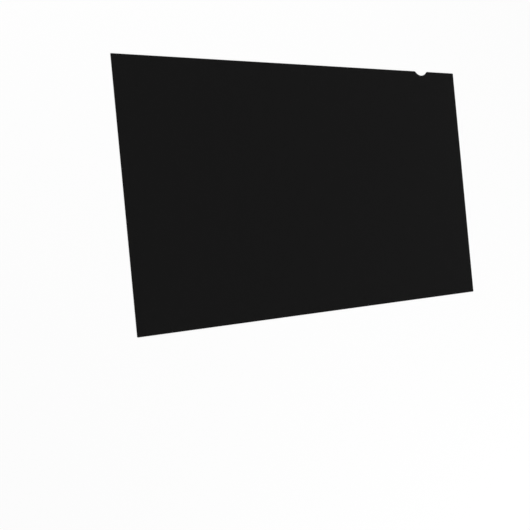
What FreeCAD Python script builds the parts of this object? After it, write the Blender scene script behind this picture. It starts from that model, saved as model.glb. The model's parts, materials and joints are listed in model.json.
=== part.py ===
# Privacy filter: one stiff, dark sheet of louvre film, die-cut to a widescreen outline, with a shallow
# finger notch in its top edge. The sheet lies on its back, as it comes to rest on a table.
# Millimetres. The origin is the middle of the back face, +Z points out of the front face,
# +X runs along the width and +Y towards the notched top edge.
import FreeCAD
import Part

import math
import os

# Driving dimensions
SHEET_WIDTH = 531.0
SHEET_HEIGHT = 299.0
SHEET_THICKNESS = 0.5
CORNER_RADIUS = 1.0
NOTCH_FROM_RIGHT_EDGE = 63.0
NOTCH_RADIUS = 14.0
NOTCH_DEPTH = 5.3
NOTCH_SHOULDER_RADIUS = 2.5

# Two ends closer than this are one point of the outline
JOIN_TOLERANCE = 1e-6


def arc(centre_x, centre_y, radius, start_deg, end_deg):
    """An arc of the outline that runs from one angle to the other, in either direction."""

    def point_at(angle_deg):
        angle = math.radians(angle_deg)
        return FreeCAD.Vector(centre_x + radius * math.cos(angle), centre_y + radius * math.sin(angle), 0)

    middle_deg = (start_deg + end_deg) / 2
    return Part.Arc(point_at(start_deg), point_at(middle_deg), point_at(end_deg))


def corner_arc(side_x, side_y, start_deg):
    """The rounded corner on the given sides of the middle, +1 or -1 each way."""
    centre_x = side_x * (SHEET_WIDTH / 2 - CORNER_RADIUS)
    centre_y = side_y * (SHEET_HEIGHT / 2 - CORNER_RADIUS)
    return arc(centre_x, centre_y, CORNER_RADIUS, start_deg, start_deg + 90)


def notch_arcs():
    """The finger notch, from its right shoulder to its left: a round scoop that meets the top edge softly."""
    top_edge = SHEET_HEIGHT / 2
    notch_x = SHEET_WIDTH / 2 - NOTCH_FROM_RIGHT_EDGE
    scoop_y = top_edge - NOTCH_DEPTH + NOTCH_RADIUS
    shoulder_y = top_edge - NOTCH_SHOULDER_RADIUS

    # The scoop and a shoulder touch on the line between their centres, which leans by slope_deg from upright
    between_centres = NOTCH_RADIUS + NOTCH_SHOULDER_RADIUS
    slope_deg = math.degrees(math.acos((scoop_y - shoulder_y) / between_centres))
    shoulder_offset = between_centres * math.sin(math.radians(slope_deg))

    return [
        arc(notch_x + shoulder_offset, shoulder_y, NOTCH_SHOULDER_RADIUS, 90, 90 + slope_deg),
        arc(notch_x, scoop_y, NOTCH_RADIUS, -90 + slope_deg, -90 - slope_deg),
        arc(notch_x - shoulder_offset, shoulder_y, NOTCH_SHOULDER_RADIUS, 90 - slope_deg, 90),
    ]


def closed_outline(arcs):
    """Joins the arcs into one closed wire, with a straight run wherever two neighbours lie apart."""
    edges = []
    for this_arc, next_arc in zip(arcs, arcs[1:] + arcs[:1]):
        edges.append(this_arc.toShape())
        run_start = this_arc.EndPoint
        run_end = next_arc.StartPoint
        if run_start.distanceToPoint(run_end) > JOIN_TOLERANCE:
            edges.append(Part.LineSegment(run_start, run_end).toShape())
    return Part.Wire(edges)


def filter_sheet():
    """The die-cut sheet: its outline, anticlockwise from the bottom right corner, given its thickness."""
    outline = closed_outline(
        [corner_arc(1, -1, -90), corner_arc(1, 1, 0)]
        + notch_arcs()
        + [corner_arc(-1, 1, 90), corner_arc(-1, -1, 180)]
    )
    return Part.Face(outline).extrude(FreeCAD.Vector(0, 0, SHEET_THICKNESS))


def main():
    os.makedirs("parts", exist_ok=True)
    sheet = filter_sheet()
    sheet.exportStep("parts/filter_sheet.step")
    size = sheet.BoundBox
    print(f"filter_sheet: {size.XLength:.2f} x {size.YLength:.2f} x {size.ZLength:.2f} mm")
    print(f"volume: {sheet.Volume:.1f} mm3")


main()
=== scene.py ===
# %% [markdown]
# # A privacy filter
#
# The object is one stiff sheet of dark film, about half a metre wide and half a millimetre thick. Black
# louvres inside it, each finer than a hair, let light through from straight ahead and stop it from the
# sides, so the sheet looks black from where this camera stands. A shallow notch in the top edge gives a
# fingertip room to lift it.
#
# The construction model already has the sheet's true size and place, so it is loaded first and never
# changed. What is modelled here takes its measures from it and stays within its box.

# %% Load the construction model
import json
import math

import bmesh
import bpy
from mathutils import Matrix, Vector


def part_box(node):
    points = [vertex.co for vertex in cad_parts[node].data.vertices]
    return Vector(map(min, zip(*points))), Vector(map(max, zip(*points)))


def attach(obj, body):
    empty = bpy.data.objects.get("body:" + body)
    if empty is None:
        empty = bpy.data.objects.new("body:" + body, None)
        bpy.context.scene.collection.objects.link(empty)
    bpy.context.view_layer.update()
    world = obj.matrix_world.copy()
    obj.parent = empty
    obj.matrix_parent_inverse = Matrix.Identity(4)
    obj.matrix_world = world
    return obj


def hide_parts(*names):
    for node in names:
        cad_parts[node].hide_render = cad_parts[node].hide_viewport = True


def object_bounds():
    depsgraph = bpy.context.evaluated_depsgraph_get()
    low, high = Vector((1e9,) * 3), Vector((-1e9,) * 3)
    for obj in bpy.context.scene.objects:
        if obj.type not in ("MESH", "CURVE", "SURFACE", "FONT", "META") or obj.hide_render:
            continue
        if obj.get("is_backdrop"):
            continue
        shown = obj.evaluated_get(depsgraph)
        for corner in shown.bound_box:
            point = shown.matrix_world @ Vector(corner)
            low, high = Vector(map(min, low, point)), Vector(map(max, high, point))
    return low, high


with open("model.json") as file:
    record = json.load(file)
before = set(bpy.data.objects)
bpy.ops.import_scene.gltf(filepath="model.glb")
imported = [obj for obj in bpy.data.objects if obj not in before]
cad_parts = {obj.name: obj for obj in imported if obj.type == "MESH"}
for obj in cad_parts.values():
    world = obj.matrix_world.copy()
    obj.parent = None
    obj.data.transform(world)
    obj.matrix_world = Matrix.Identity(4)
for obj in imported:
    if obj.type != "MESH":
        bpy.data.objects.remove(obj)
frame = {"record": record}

MILLIMETRE = 0.001

cad_low, cad_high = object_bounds()
sheet_low, sheet_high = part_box("filter_sheet")
left_edge, bottom_edge, back_face = sheet_low
right_edge, top_edge, front_face = sheet_high
print("sheet in mm:", [round(side / MILLIMETRE, 3) for side in sheet_high - sheet_low])

# %% [markdown]
# ## The camera
#
# The sheet lies on its back, where the photograph shows it upright, so the camera looks down on it from the
# left. Its place, aim and lens were worked out from where the sheet's four corners fall in the picture. A
# camera can be turned by three angles, but they are hard to read. It looks along its own -Z with +Y
# upwards, so three directions at right angles make its turn here, and a small roll comes last.

# %% Camera
CAMERA_PLACE = Vector((-0.8036, -0.0858, 0.9258))
CAMERA_AIM = Vector((-0.0881, -0.0865, 0.0))
CAMERA_ROLL = math.radians(-5.416)
CAMERA_LENS = 68.92
CAMERA_SENSOR = 36.0
TOWARDS_TOP_EDGE = Vector((0.0, 1.0, 0.0))

sight = (CAMERA_AIM - CAMERA_PLACE).normalized()
rightward = sight.cross(TOWARDS_TOP_EDGE).normalized()
upward = rightward.cross(sight)
camera_turn = Matrix((rightward, upward, -sight)).transposed().to_4x4()
camera_roll = Matrix.Rotation(CAMERA_ROLL, 4, "Z")

bpy.ops.object.camera_add()
camera = bpy.context.object
camera.name = "studio_camera"
camera.matrix_world = Matrix.Translation(CAMERA_PLACE) @ camera_turn @ camera_roll
camera.data.lens = CAMERA_LENS
camera.data.sensor_width = CAMERA_SENSOR
bpy.context.scene.camera = camera
bpy.context.scene.view_settings.view_transform = "Standard"
print("camera is", round((CAMERA_AIM - CAMERA_PLACE).length, 3), "m from its aim")

# %% [markdown]
# ## Wires
#
# Each finish below is a small network of shader nodes. They could be added one by one, but sums and
# products read better as Python. So a Wire holds one socket, and arithmetic on it adds the Math nodes, with
# the wire on either side of the sign. The sign | gives the larger of two values. One method adds every other
# kind of node. Settings go in first, because some of them change which sockets the node has, and then the
# values and links of its sockets.


# %% Wire
def forward_and_reflected(operation):
    """Two methods for one Math operation: for a wire on the left of the sign, and for one on the right."""

    def forward(self, other):
        return Wire.node(self.tree, "ShaderNodeMath", {"operation": operation}, {0: self, 1: other})

    def reflected(self, other):
        return Wire.node(self.tree, "ShaderNodeMath", {"operation": operation}, {0: other, 1: self})

    return forward, reflected


class Wire:
    """An output socket of a node, for use in expressions."""

    __add__, __radd__ = forward_and_reflected("ADD")
    __sub__, __rsub__ = forward_and_reflected("SUBTRACT")
    __mul__, __rmul__ = forward_and_reflected("MULTIPLY")
    __or__, __ror__ = forward_and_reflected("MAXIMUM")

    def __init__(self, socket):
        self.socket = socket
        self.tree = socket.id_data

    @staticmethod
    def node(tree, kind, settings=None, sockets=None, output=0):
        """Adds a node and returns one of its outputs, or nothing for a node that has none."""
        made = tree.nodes.new(kind)
        for name, value in (settings or {}).items():
            setattr(made, name, value)
        for name, value in (sockets or {}).items():
            if isinstance(value, Wire):
                tree.links.new(value.socket, made.inputs[name])
            else:
                made.inputs[name].default_value = value
        return Wire(made.outputs[output]) if made.outputs else None


def bare_tree(owner):
    """The node tree of a new material or world, with nothing in it."""
    owner.use_nodes = True
    owner.node_tree.nodes.clear()
    return owner.node_tree


print("signs that a Wire takes on either side:", [name for name in vars(Wire) if name.startswith("__r")])

# %% [markdown]
# ## Rays and places
#
# Two questions come up in more than one finish. One is what a ray is for: some rays show a surface, straight
# to the camera or by way of gloss or glass, and the others only carry light. A Light Path node tells them
# apart. The other question is where a point lies. Generated coordinates run from 0 to 1 over every object,
# so a pattern on them would stretch with its object. Object coordinates are in metres and stay on the object
# in every view, so those are used.

# %% Rays and places
SHOWING_RAYS = ("Is Camera Ray", "Is Glossy Ray", "Is Transmission Ray")


def seen_rays(tree):
    """1 for rays that show a surface, and 0 for rays that only light."""
    straight, gloss, glass = (Wire.node(tree, "ShaderNodeLightPath", output=kind) for kind in SHOWING_RAYS)
    return straight | gloss | glass


def place_on_piece(tree):
    """Where a point lies on its own object, in metres."""
    return Wire.node(tree, "ShaderNodeTexCoord", output="Object")


print("rays that show a surface:", SHOWING_RAYS)

# %% [markdown]
# ## A pale floor
#
# The floor is one plain pale plane that reaches to the horizon. More lamps would make it white, and would
# wash out the film too. So a share of it glows at a strength of 1, which is white, for the rays that show
# it, and the lamps light the rest, which takes the shadow. Far from the sheet there is no shadow to take,
# and the whole floor glows. It lies a hair below the film, because two faces in one plane would flicker.

# %% Floor
WHITE = (1.0, 1.0, 1.0, 1.0)
WHITE_STRENGTH = 1.0
FLOOR_SIZE = 400.0
FLOOR_GAP = 0.1 * MILLIMETRE
FLOOR_COLOUR = (0.95, 0.95, 0.95, 1.0)
GLOW_NEAR_SHEET = 0.8
SHADOW_RADIUS = 1.0
GLOW_RADIUS = 3.0


def pale_floor():
    """A floor that is white to look at and still takes a shadow near the sheet."""
    material = bpy.data.materials.new("pale_floor")
    tree = bare_tree(material)
    from_middle = {0: place_on_piece(tree)}
    distance = Wire.node(tree, "ShaderNodeVectorMath", {"operation": "LENGTH"}, from_middle, "Value")
    rise = {"Value": distance, "From Min": SHADOW_RADIUS, "From Max": GLOW_RADIUS, "To Min": GLOW_NEAR_SHEET}
    glow = seen_rays(tree) * Wire.node(tree, "ShaderNodeMapRange", sockets=rise)
    lit = Wire.node(tree, "ShaderNodeBsdfDiffuse", sockets={"Color": FLOOR_COLOUR})
    glowing = Wire.node(tree, "ShaderNodeEmission", sockets={"Color": WHITE, "Strength": WHITE_STRENGTH})
    surface = Wire.node(tree, "ShaderNodeMixShader", sockets={0: glow, 1: lit, 2: glowing})
    Wire.node(tree, "ShaderNodeOutputMaterial", sockets={"Surface": surface})
    return material


bpy.ops.object.select_all(action="DESELECT")
bpy.ops.mesh.primitive_plane_add(size=FLOOR_SIZE, location=(0.0, 0.0, back_face - FLOOR_GAP))
floor = bpy.context.object
floor.name = "studio_floor"
floor.data.materials.append(pale_floor())
floor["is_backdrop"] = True
print("floor lies", round((back_face - floor.location.z) / MILLIMETRE, 2), "mm below the film")

# %% [markdown]
# ## A white room
#
# Past the floor lies the room, which is plain white. A white world at full strength would show that, but it
# would also light the sheet alike from all around, and the lamps would have little left to do. So the room
# is white where it is seen, and only a faint fill where it lights.

# %% Room
ROOM_FILL = 0.2


def white_room():
    """A world that is white to look at and lights the sheet a little from all around."""
    room = bpy.data.worlds.new("white_room")
    tree = bare_tree(room)
    fill = Wire.node(tree, "ShaderNodeBackground", sockets={"Color": WHITE, "Strength": ROOM_FILL})
    backdrop = Wire.node(tree, "ShaderNodeBackground", sockets={"Color": WHITE, "Strength": WHITE_STRENGTH})
    surface = Wire.node(tree, "ShaderNodeMixShader", sockets={0: seen_rays(tree), 1: fill, 2: backdrop})
    Wire.node(tree, "ShaderNodeOutputWorld", sockets={"Surface": surface})
    return room


bpy.context.scene.world = white_room()
print("the room lights at", ROOM_FILL, "of the white that it shows")

# %% [markdown]
# ## Two soft lamps
#
# Two large square lamps face the sheet from behind and from in front, as soft boxes do in a product studio.
# A point lamp would be simpler, but a flat sheet would mirror it as one hard spot. A sheet mirrors what
# stands across from the camera, so no lamp stands to the right, and the film stays dark in this view. Both
# lamps stand low, so that from other sides they lay a soft sheen over a part of it.

# %% Lamps
LAMP_SIDE = 1.2
LAMP_POWER = 41.0
LAMP_PLACES = {"back_soft_box": Vector((-0.7, 1.8, 1.3)), "front_soft_box": Vector((0.8, -1.8, 1.2))}

for lamp_name, lamp_place in LAMP_PLACES.items():
    towards_sheet = (-lamp_place).to_track_quat("-Z", "Y").to_euler()
    bpy.ops.object.light_add(type="AREA", location=lamp_place, rotation=towards_sheet)
    lamp = bpy.context.object
    lamp.name = lamp_name
    lamp.data.shape = "SQUARE"
    lamp.data.size = LAMP_SIDE
    lamp.data.energy = LAMP_POWER
    print(lamp_name, "stands", round(lamp_place.length, 2), "m from the sheet")

# %% [markdown]
# ## The notch
#
# The notch gives a fingertip room to lift the sheet. It is one wide arc, and a small round shoulder on each
# side leads into it, so that no sharp point is left to crack. The points where the arcs meet could be typed
# in, but rounded numbers would leave kinks there, so they are worked out. A shoulder touches the straight
# edge, so its centre is one radius below it. It touches the wide arc too, so the two centres are the two
# radii apart. The right-angled triangle between them gives how far the shoulder turns, and how far it stands
# from the middle of the notch. The construction model states the gap in the notch as a box, and the middle
# of that box is the middle of the notch.

# %% Work out the notch
NOTCH_RADIUS = 14.0 * MILLIMETRE
NOTCH_DEPTH = 5.3 * MILLIMETRE
SHOULDER_RADIUS = 2.5 * MILLIMETRE

openings = {opening["name"]: opening for opening in frame["record"]["physics"]["openings"]}
gap_low, gap_high = openings["finger_notch"]["box_m"]
notch_x = (gap_low[0] + gap_high[0]) / 2
notch_y = top_edge - NOTCH_DEPTH + NOTCH_RADIUS
shoulder_y = top_edge - SHOULDER_RADIUS
between_centres = NOTCH_RADIUS + SHOULDER_RADIUS
shoulder_turn = math.acos((notch_y - shoulder_y) / between_centres)
shoulder_reach = between_centres * math.sin(shoulder_turn)
print("notch in mm:", round(2 * shoulder_reach / MILLIMETRE, 2), "wide and", NOTCH_DEPTH / MILLIMETRE, "deep")
print("its shoulders turn by", round(math.degrees(shoulder_turn), 1), "degrees")

# %% [markdown]
# ## A pen for the outline
#
# The real sheet is stamped out of film with a bent steel rule, and the path of that rule is the outline. A
# rectangle with the notch cut out by a boolean would do, but it leaves uneven points round the notch. So
# the path is drawn, as with a pen: extrude draws a straight run, and spin draws an arc. The one selected
# point is the tip of the pen. It starts as a small plane at the bottom left corner, merged to one point.

# %% Put the pen down
CORNER_RADIUS = 1.0 * MILLIMETRE
corner_left = left_edge + CORNER_RADIUS
corner_right = right_edge - CORNER_RADIUS
corner_bottom = bottom_edge + CORNER_RADIUS
corner_top = top_edge - CORNER_RADIUS

bpy.ops.object.select_all(action="DESELECT")
bpy.ops.mesh.primitive_plane_add(size=CORNER_RADIUS, location=(corner_left, bottom_edge, back_face))
bpy.ops.object.transform_apply()
sheet = bpy.context.object
sheet.name = "privacy_sheet"
bpy.ops.object.mode_set(mode="EDIT")
bpy.ops.mesh.select_mode(type="VERT")
bpy.ops.mesh.merge(type="CENTER")


def run_to(x, y):
    """Draws a straight run from the pen to this point."""
    drawing = bmesh.from_edit_mesh(sheet.data)
    pen = next(point.co for point in drawing.verts if point.select)
    step = Vector((x, y, back_face)) - pen
    bpy.ops.mesh.extrude_region_move(TRANSFORM_OT_translate={"value": step})


def turn_left(x, y, angle, steps):
    """Draws an arc about this centre, leftwards. Spin turns clockwise about its axis, so the axis is down."""
    bpy.ops.mesh.spin(steps=steps, angle=angle, center=(x, y, back_face), axis=(0.0, 0.0, -1.0))


print("the pen starts", CORNER_RADIUS / MILLIMETRE, "mm from the corner of", sheet.name)

# %% [markdown]
# ## Draw the outline
#
# The pen goes once round the sheet and keeps the film on its left: along the bottom, up the right side, and
# back along the top, where it dips into the notch. The runs could come first and their corners be rounded
# afterwards, but a bevel can't make the notch's two curves meet smoothly. Here each corner is a quarter
# turn, and the notch curves the other way, so its turn is negative. At the end the pen meets its own start,
# and the two points are merged to close the line.

# %% Outline
QUARTER_TURN = math.pi / 2
SMALL_ARC_STEPS = 8
NOTCH_STEPS = 32
JOIN_DISTANCE = 0.001 * MILLIMETRE

run_to(corner_right, bottom_edge)
turn_left(corner_right, corner_bottom, QUARTER_TURN, SMALL_ARC_STEPS)
run_to(right_edge, corner_top)
turn_left(corner_right, corner_top, QUARTER_TURN, SMALL_ARC_STEPS)
run_to(notch_x + shoulder_reach, top_edge)
turn_left(notch_x + shoulder_reach, shoulder_y, shoulder_turn, SMALL_ARC_STEPS)
turn_left(notch_x, notch_y, -2 * shoulder_turn, NOTCH_STEPS)
turn_left(notch_x - shoulder_reach, shoulder_y, shoulder_turn, SMALL_ARC_STEPS)
run_to(corner_left, top_edge)
turn_left(corner_left, corner_top, QUARTER_TURN, SMALL_ARC_STEPS)
run_to(left_edge, corner_bottom)
turn_left(corner_left, corner_bottom, QUARTER_TURN, SMALL_ARC_STEPS)

bpy.ops.mesh.select_all(action="SELECT")
bpy.ops.mesh.remove_doubles(threshold=JOIN_DISTANCE)
drawing = bmesh.from_edit_mesh(sheet.data)
is_closed = all(len(point.link_edges) == 2 for point in drawing.verts)
print("outline of", len(drawing.edges), "edges, closed:", is_closed)

# %% [markdown]
# ## Film and thickness
#
# One face fills the outline, and extruding it straight up gives the half millimetre. A solidify modifier
# would do the same, but it follows the way the face points, and a filled outline can point either way. An
# extrusion goes where it is told. The volume then tells whether the shape is closed and right.

# %% Fill and thicken
thickness = front_face - back_face

bpy.ops.mesh.edge_face_add()
bpy.ops.mesh.extrude_region_move(TRANSFORM_OT_translate={"value": (0.0, 0.0, thickness)})
bpy.ops.mesh.select_all(action="SELECT")
bpy.ops.mesh.normals_make_consistent(inside=False)
drawing = bmesh.from_edit_mesh(sheet.data)
print("sheet of", round(drawing.calc_volume() / MILLIMETRE**3), "mm3 in", len(drawing.faces), "faces")

# %% [markdown]
# ## Eased rims
#
# A stamped edge is never perfectly sharp, and a perfectly sharp one catches no light. Both rims get a bevel
# of a few hundredths of a millimetre. A bevel modifier could find them by their angle, but an angle doesn't
# say which edge is meant. So they are picked by their place: they lie level, and have the upright wall on
# one side. Smooth shading stays below the angle of the bevel, so that it rounds the arcs and leaves the broad
# faces flat.

# %% Ease the rims
RIM_EASE = 0.06 * MILLIMETRE
RIM_SEGMENTS = 2
LEVEL_WITHIN = 0.001 * MILLIMETRE
UPRIGHT_BELOW = 0.5
SMOOTH_BELOW = math.radians(15.0)


def is_rim(edge):
    """Whether an edge runs round the front or the back of the wall."""
    level = abs(edge.verts[0].co.z - edge.verts[1].co.z) < LEVEL_WITHIN
    return level and any(abs(face.normal.z) < UPRIGHT_BELOW for face in edge.link_faces)


bpy.ops.mesh.select_mode(type="EDGE")
bpy.ops.mesh.select_all(action="DESELECT")
drawing = bmesh.from_edit_mesh(sheet.data)
for edge in drawing.edges:
    edge.select_set(is_rim(edge))
bmesh.update_edit_mesh(sheet.data)
bpy.ops.mesh.bevel(offset=RIM_EASE, segments=RIM_SEGMENTS, affect="EDGES")
bpy.ops.object.mode_set(mode="OBJECT")
bpy.ops.object.shade_smooth_by_angle(angle=SMOOTH_BELOW)
print("eased sheet:", len(sheet.data.polygons), "faces")

# %% [markdown]
# ## Patterns in the film
#
# Three patterns make the film more than a flat black. Faint streaks run up the sheet, as the louvres do. A
# fine grain is the anti-glare finish, which scatters what the surface mirrors. Broad clouds are where the
# coat is a little thicker. The louvres could be drawn as true lines, but they are so fine that they would
# shimmer in a picture. Noise that is stretched along the sheet gives their direction without that.

# %% Film patterns
STREAK_WIDTH = 0.9 * MILLIMETRE
STREAK_LENGTH = 160.0 * MILLIMETRE
GRAIN_SIZE = 0.35 * MILLIMETRE
CLOUD_SIZE = 90.0 * MILLIMETRE
NOISE_DETAIL = 2.0
NOISE_LOW = 0.3
NOISE_HIGH = 0.7


def noise(place, size):
    """Noise with features of this size, from 0 to 1. Plain noise stays near its middle, so it is spread."""
    sockets = {"Vector": place, "Scale": 1 / size, "Detail": NOISE_DETAIL}
    plain = Wire.node(place.tree, "ShaderNodeTexNoise", sockets=sockets)
    spread = {"Value": plain, "From Min": NOISE_LOW, "From Max": NOISE_HIGH}
    return Wire.node(place.tree, "ShaderNodeMapRange", sockets=spread)


def louvre_streaks(tree):
    """Streaks up the sheet. The place is squeezed that way first, so the noise comes out long."""
    squeeze = {"Vector": place_on_piece(tree), "Scale": (1.0, STREAK_WIDTH / STREAK_LENGTH, 1.0)}
    return noise(Wire.node(tree, "ShaderNodeMapping", sockets=squeeze), STREAK_WIDTH)


def fine_grain(tree):
    """The grain of the anti-glare finish."""
    return noise(place_on_piece(tree), GRAIN_SIZE)


def coat_clouds(tree):
    """Broad, soft patches in the coat."""
    return noise(place_on_piece(tree), CLOUD_SIZE)


print("streaks", STREAK_WIDTH / MILLIMETRE, "mm wide, grain of", GRAIN_SIZE / MILLIMETRE, "mm")

# %% [markdown]
# ## From patterns to a finish
#
# A pattern runs from 0 to 1, and a finish needs a number or a colour between two ends. Numbers can be worked
# out with Wires, but a Math node would turn a colour grey, so colours go through a Mix node. The grain also
# lifts the surface, by far less than a picture could show as a shape, so a bump is enough. One shader ends
# every finish, with what stays the same all over set on its own sockets.

# %% Finish helpers
GRAIN_HEIGHT = 0.02 * MILLIMETRE
COLOUR_A = 6
COLOUR_B = 7
COLOUR_RESULT = 2


def between(low, high, pattern):
    """A number from low to high, as a pattern goes from 0 to 1."""
    return low + (high - low) * pattern


def between_colours(low, high, pattern):
    """A colour from low to high. The Mix node lists its sockets for numbers and vectors before these."""
    sockets = {"Factor": pattern, COLOUR_A: low, COLOUR_B: high}
    return Wire.node(pattern.tree, "ShaderNodeMix", {"data_type": "RGBA"}, sockets, COLOUR_RESULT)


def grain_bump(grain):
    """A surface that is rough to the grain's height."""
    return Wire.node(grain.tree, "ShaderNodeBump", sockets={"Distance": GRAIN_HEIGHT, "Height": grain})


def finish_material(material, finish):
    """Ends a material with the one shader that has this finish."""
    tree = material.node_tree
    surface = Wire.node(tree, "ShaderNodeBsdfPrincipled", sockets=finish)
    Wire.node(tree, "ShaderNodeOutputMaterial", sockets={"Surface": surface})
    print("made", material.name, "of", len(tree.nodes), "nodes")
    return material


print("the grain stands", GRAIN_HEIGHT / MILLIMETRE, "mm high")

# %% [markdown]
# ## The matt front
#
# In the photograph the front is an even near-black with no mirrored lamp in it, so it is matt. It is a little
# paler where white lies behind it than where dark does, so a trace of light comes through. A dark grey could
# give that tone, but then the sheet would look like painted board. So the colour is nearly black, and an
# alpha just below 1 lets the floor glimmer through. A thin, rough coat adds the soft sheen that shows at a
# slant, and it is thinner along the streaks, so the louvres show in the sheen as fine lines.

# %% Matt front
FILM_DARK = (0.0006, 0.0006, 0.0006, 1.0)
FILM_PALE = (0.0026, 0.0025, 0.0025, 1.0)
FILM_ALPHA = 0.92
FILM_SPECULAR = 0.008
MATT_ROUGHNESS_LOW = 0.38
MATT_ROUGHNESS_HIGH = 0.52
GRAIN_SHARE = 0.5
COAT_WEIGHT = 0.045
COAT_THINNING = 0.55
COAT_ROUGHNESS = 0.25


def matt_front():
    """Near-black film with a fine grain and a thin, rough coat."""
    material = bpy.data.materials.new("matt_louvre_film")
    tree = bare_tree(material)
    streaks = louvre_streaks(tree)
    grain = fine_grain(tree)
    scatter = GRAIN_SHARE * grain + (1 - GRAIN_SHARE) * coat_clouds(tree)
    finish = {
        "Base Color": between_colours(FILM_DARK, FILM_PALE, streaks),
        "Roughness": between(MATT_ROUGHNESS_LOW, MATT_ROUGHNESS_HIGH, scatter),
        "Specular IOR Level": FILM_SPECULAR,
        "Coat Weight": COAT_WEIGHT * (1 - COAT_THINNING * streaks),
        "Coat Roughness": COAT_ROUGHNESS,
        "Normal": grain_bump(grain),
        "Alpha": FILM_ALPHA,
    }
    return finish_material(material, finish)


front_film = matt_front()

# %% [markdown]
# ## The glossy back
#
# The photograph doesn't show the back. Such sheets are often matt on one side and glossy on the other, to be
# used either way round, so the back is taken to be glossy. It could share the front's finish, but then a
# sheet that is turned over would look no different. The colour and alpha are the same film's, the roughness
# is low, and the grain and the coat are left off.

# %% Glossy back
GLOSS_SPECULAR = 0.1
GLOSS_ROUGHNESS_LOW = 0.12
GLOSS_ROUGHNESS_HIGH = 0.20


def glossy_back():
    """The same film, smooth and with no coat."""
    material = bpy.data.materials.new("glossy_louvre_film")
    tree = bare_tree(material)
    finish = {
        "Base Color": between_colours(FILM_DARK, FILM_PALE, louvre_streaks(tree)),
        "Roughness": between(GLOSS_ROUGHNESS_LOW, GLOSS_ROUGHNESS_HIGH, coat_clouds(tree)),
        "Specular IOR Level": GLOSS_SPECULAR,
        "Alpha": FILM_ALPHA,
    }
    return finish_material(material, finish)


back_film = glossy_back()

# %% [markdown]
# ## The cut edge
#
# The rule cuts through every louvre, so the wall is black, with the ends of the louvres as fine bars along
# the top and the bottom. It could be the front's finish, but a see-through wall would show light inside the
# sheet, where a real one is full of louvres. So this finish is solid. A cut is bare plastic without the
# anti-glare face, so it mirrors a little more of the room, and the eased rims catch a thin line of light.

# %% Cut edge
CUT_DARK = (0.0004, 0.0004, 0.0004, 1.0)
CUT_PALE = (0.0030, 0.0030, 0.0030, 1.0)
CUT_SPECULAR = 0.18
CUT_ROUGHNESS_LOW = 0.40
CUT_ROUGHNESS_HIGH = 0.60


def cut_edge():
    """A solid black wall, barred by the ends of the louvres."""
    material = bpy.data.materials.new("black_cut_edge")
    tree = bare_tree(material)
    grain = fine_grain(tree)
    finish = {
        "Base Color": between_colours(CUT_DARK, CUT_PALE, louvre_streaks(tree)),
        "Roughness": between(CUT_ROUGHNESS_LOW, CUT_ROUGHNESS_HIGH, grain),
        "Specular IOR Level": CUT_SPECULAR,
        "Normal": grain_bump(grain),
    }
    return finish_material(material, finish)


black_cut = cut_edge()

# %% [markdown]
# ## Dress the sheet
#
# Each face gets its finish by where it looks. It could be picked by its number in the mesh, but a bevel
# changes those. The two broad faces each fill more than half the sheet's own rectangle, so their area picks
# them out, and the side they face tells front from back. Wall and rims take the cut edge. The sheet then
# rides on the model's one body and stands for its one node.

# %% Finishes and place in the model
FRONT, BACK, EDGE = range(3)
half_the_sheet = (right_edge - left_edge) * (top_edge - bottom_edge) / 2

for finish in (front_film, back_film, black_cut):
    sheet.data.materials.append(finish)
for face in sheet.data.polygons:
    face.material_index = EDGE
    if face.area > half_the_sheet:
        face.material_index = FRONT if face.normal.z > 0 else BACK

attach(sheet, "root")
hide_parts("filter_sheet")
broad_faces = [face for face in sheet.data.polygons if face.material_index != EDGE]
print(len(broad_faces), "broad faces and", len(sheet.data.polygons) - len(broad_faces), "of cut edge")

# %% [markdown]
# ## Measure and finish
#
# The finished sheet has to fill the same box as the construction model. A picture could be held against the
# model's own, but it wouldn't tell a millimetre. So both boxes are measured and printed side by side.

# %% Measure and finish
visual_low, visual_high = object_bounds()
sizes = {"cad": [list(cad_low), list(cad_high)], "visual": [list(visual_low), list(visual_high)]}
for name, (low, high) in sizes.items():
    print(name, "box in mm:", [round((end - start) / MILLIMETRE, 3) for start, end in zip(low, high)])
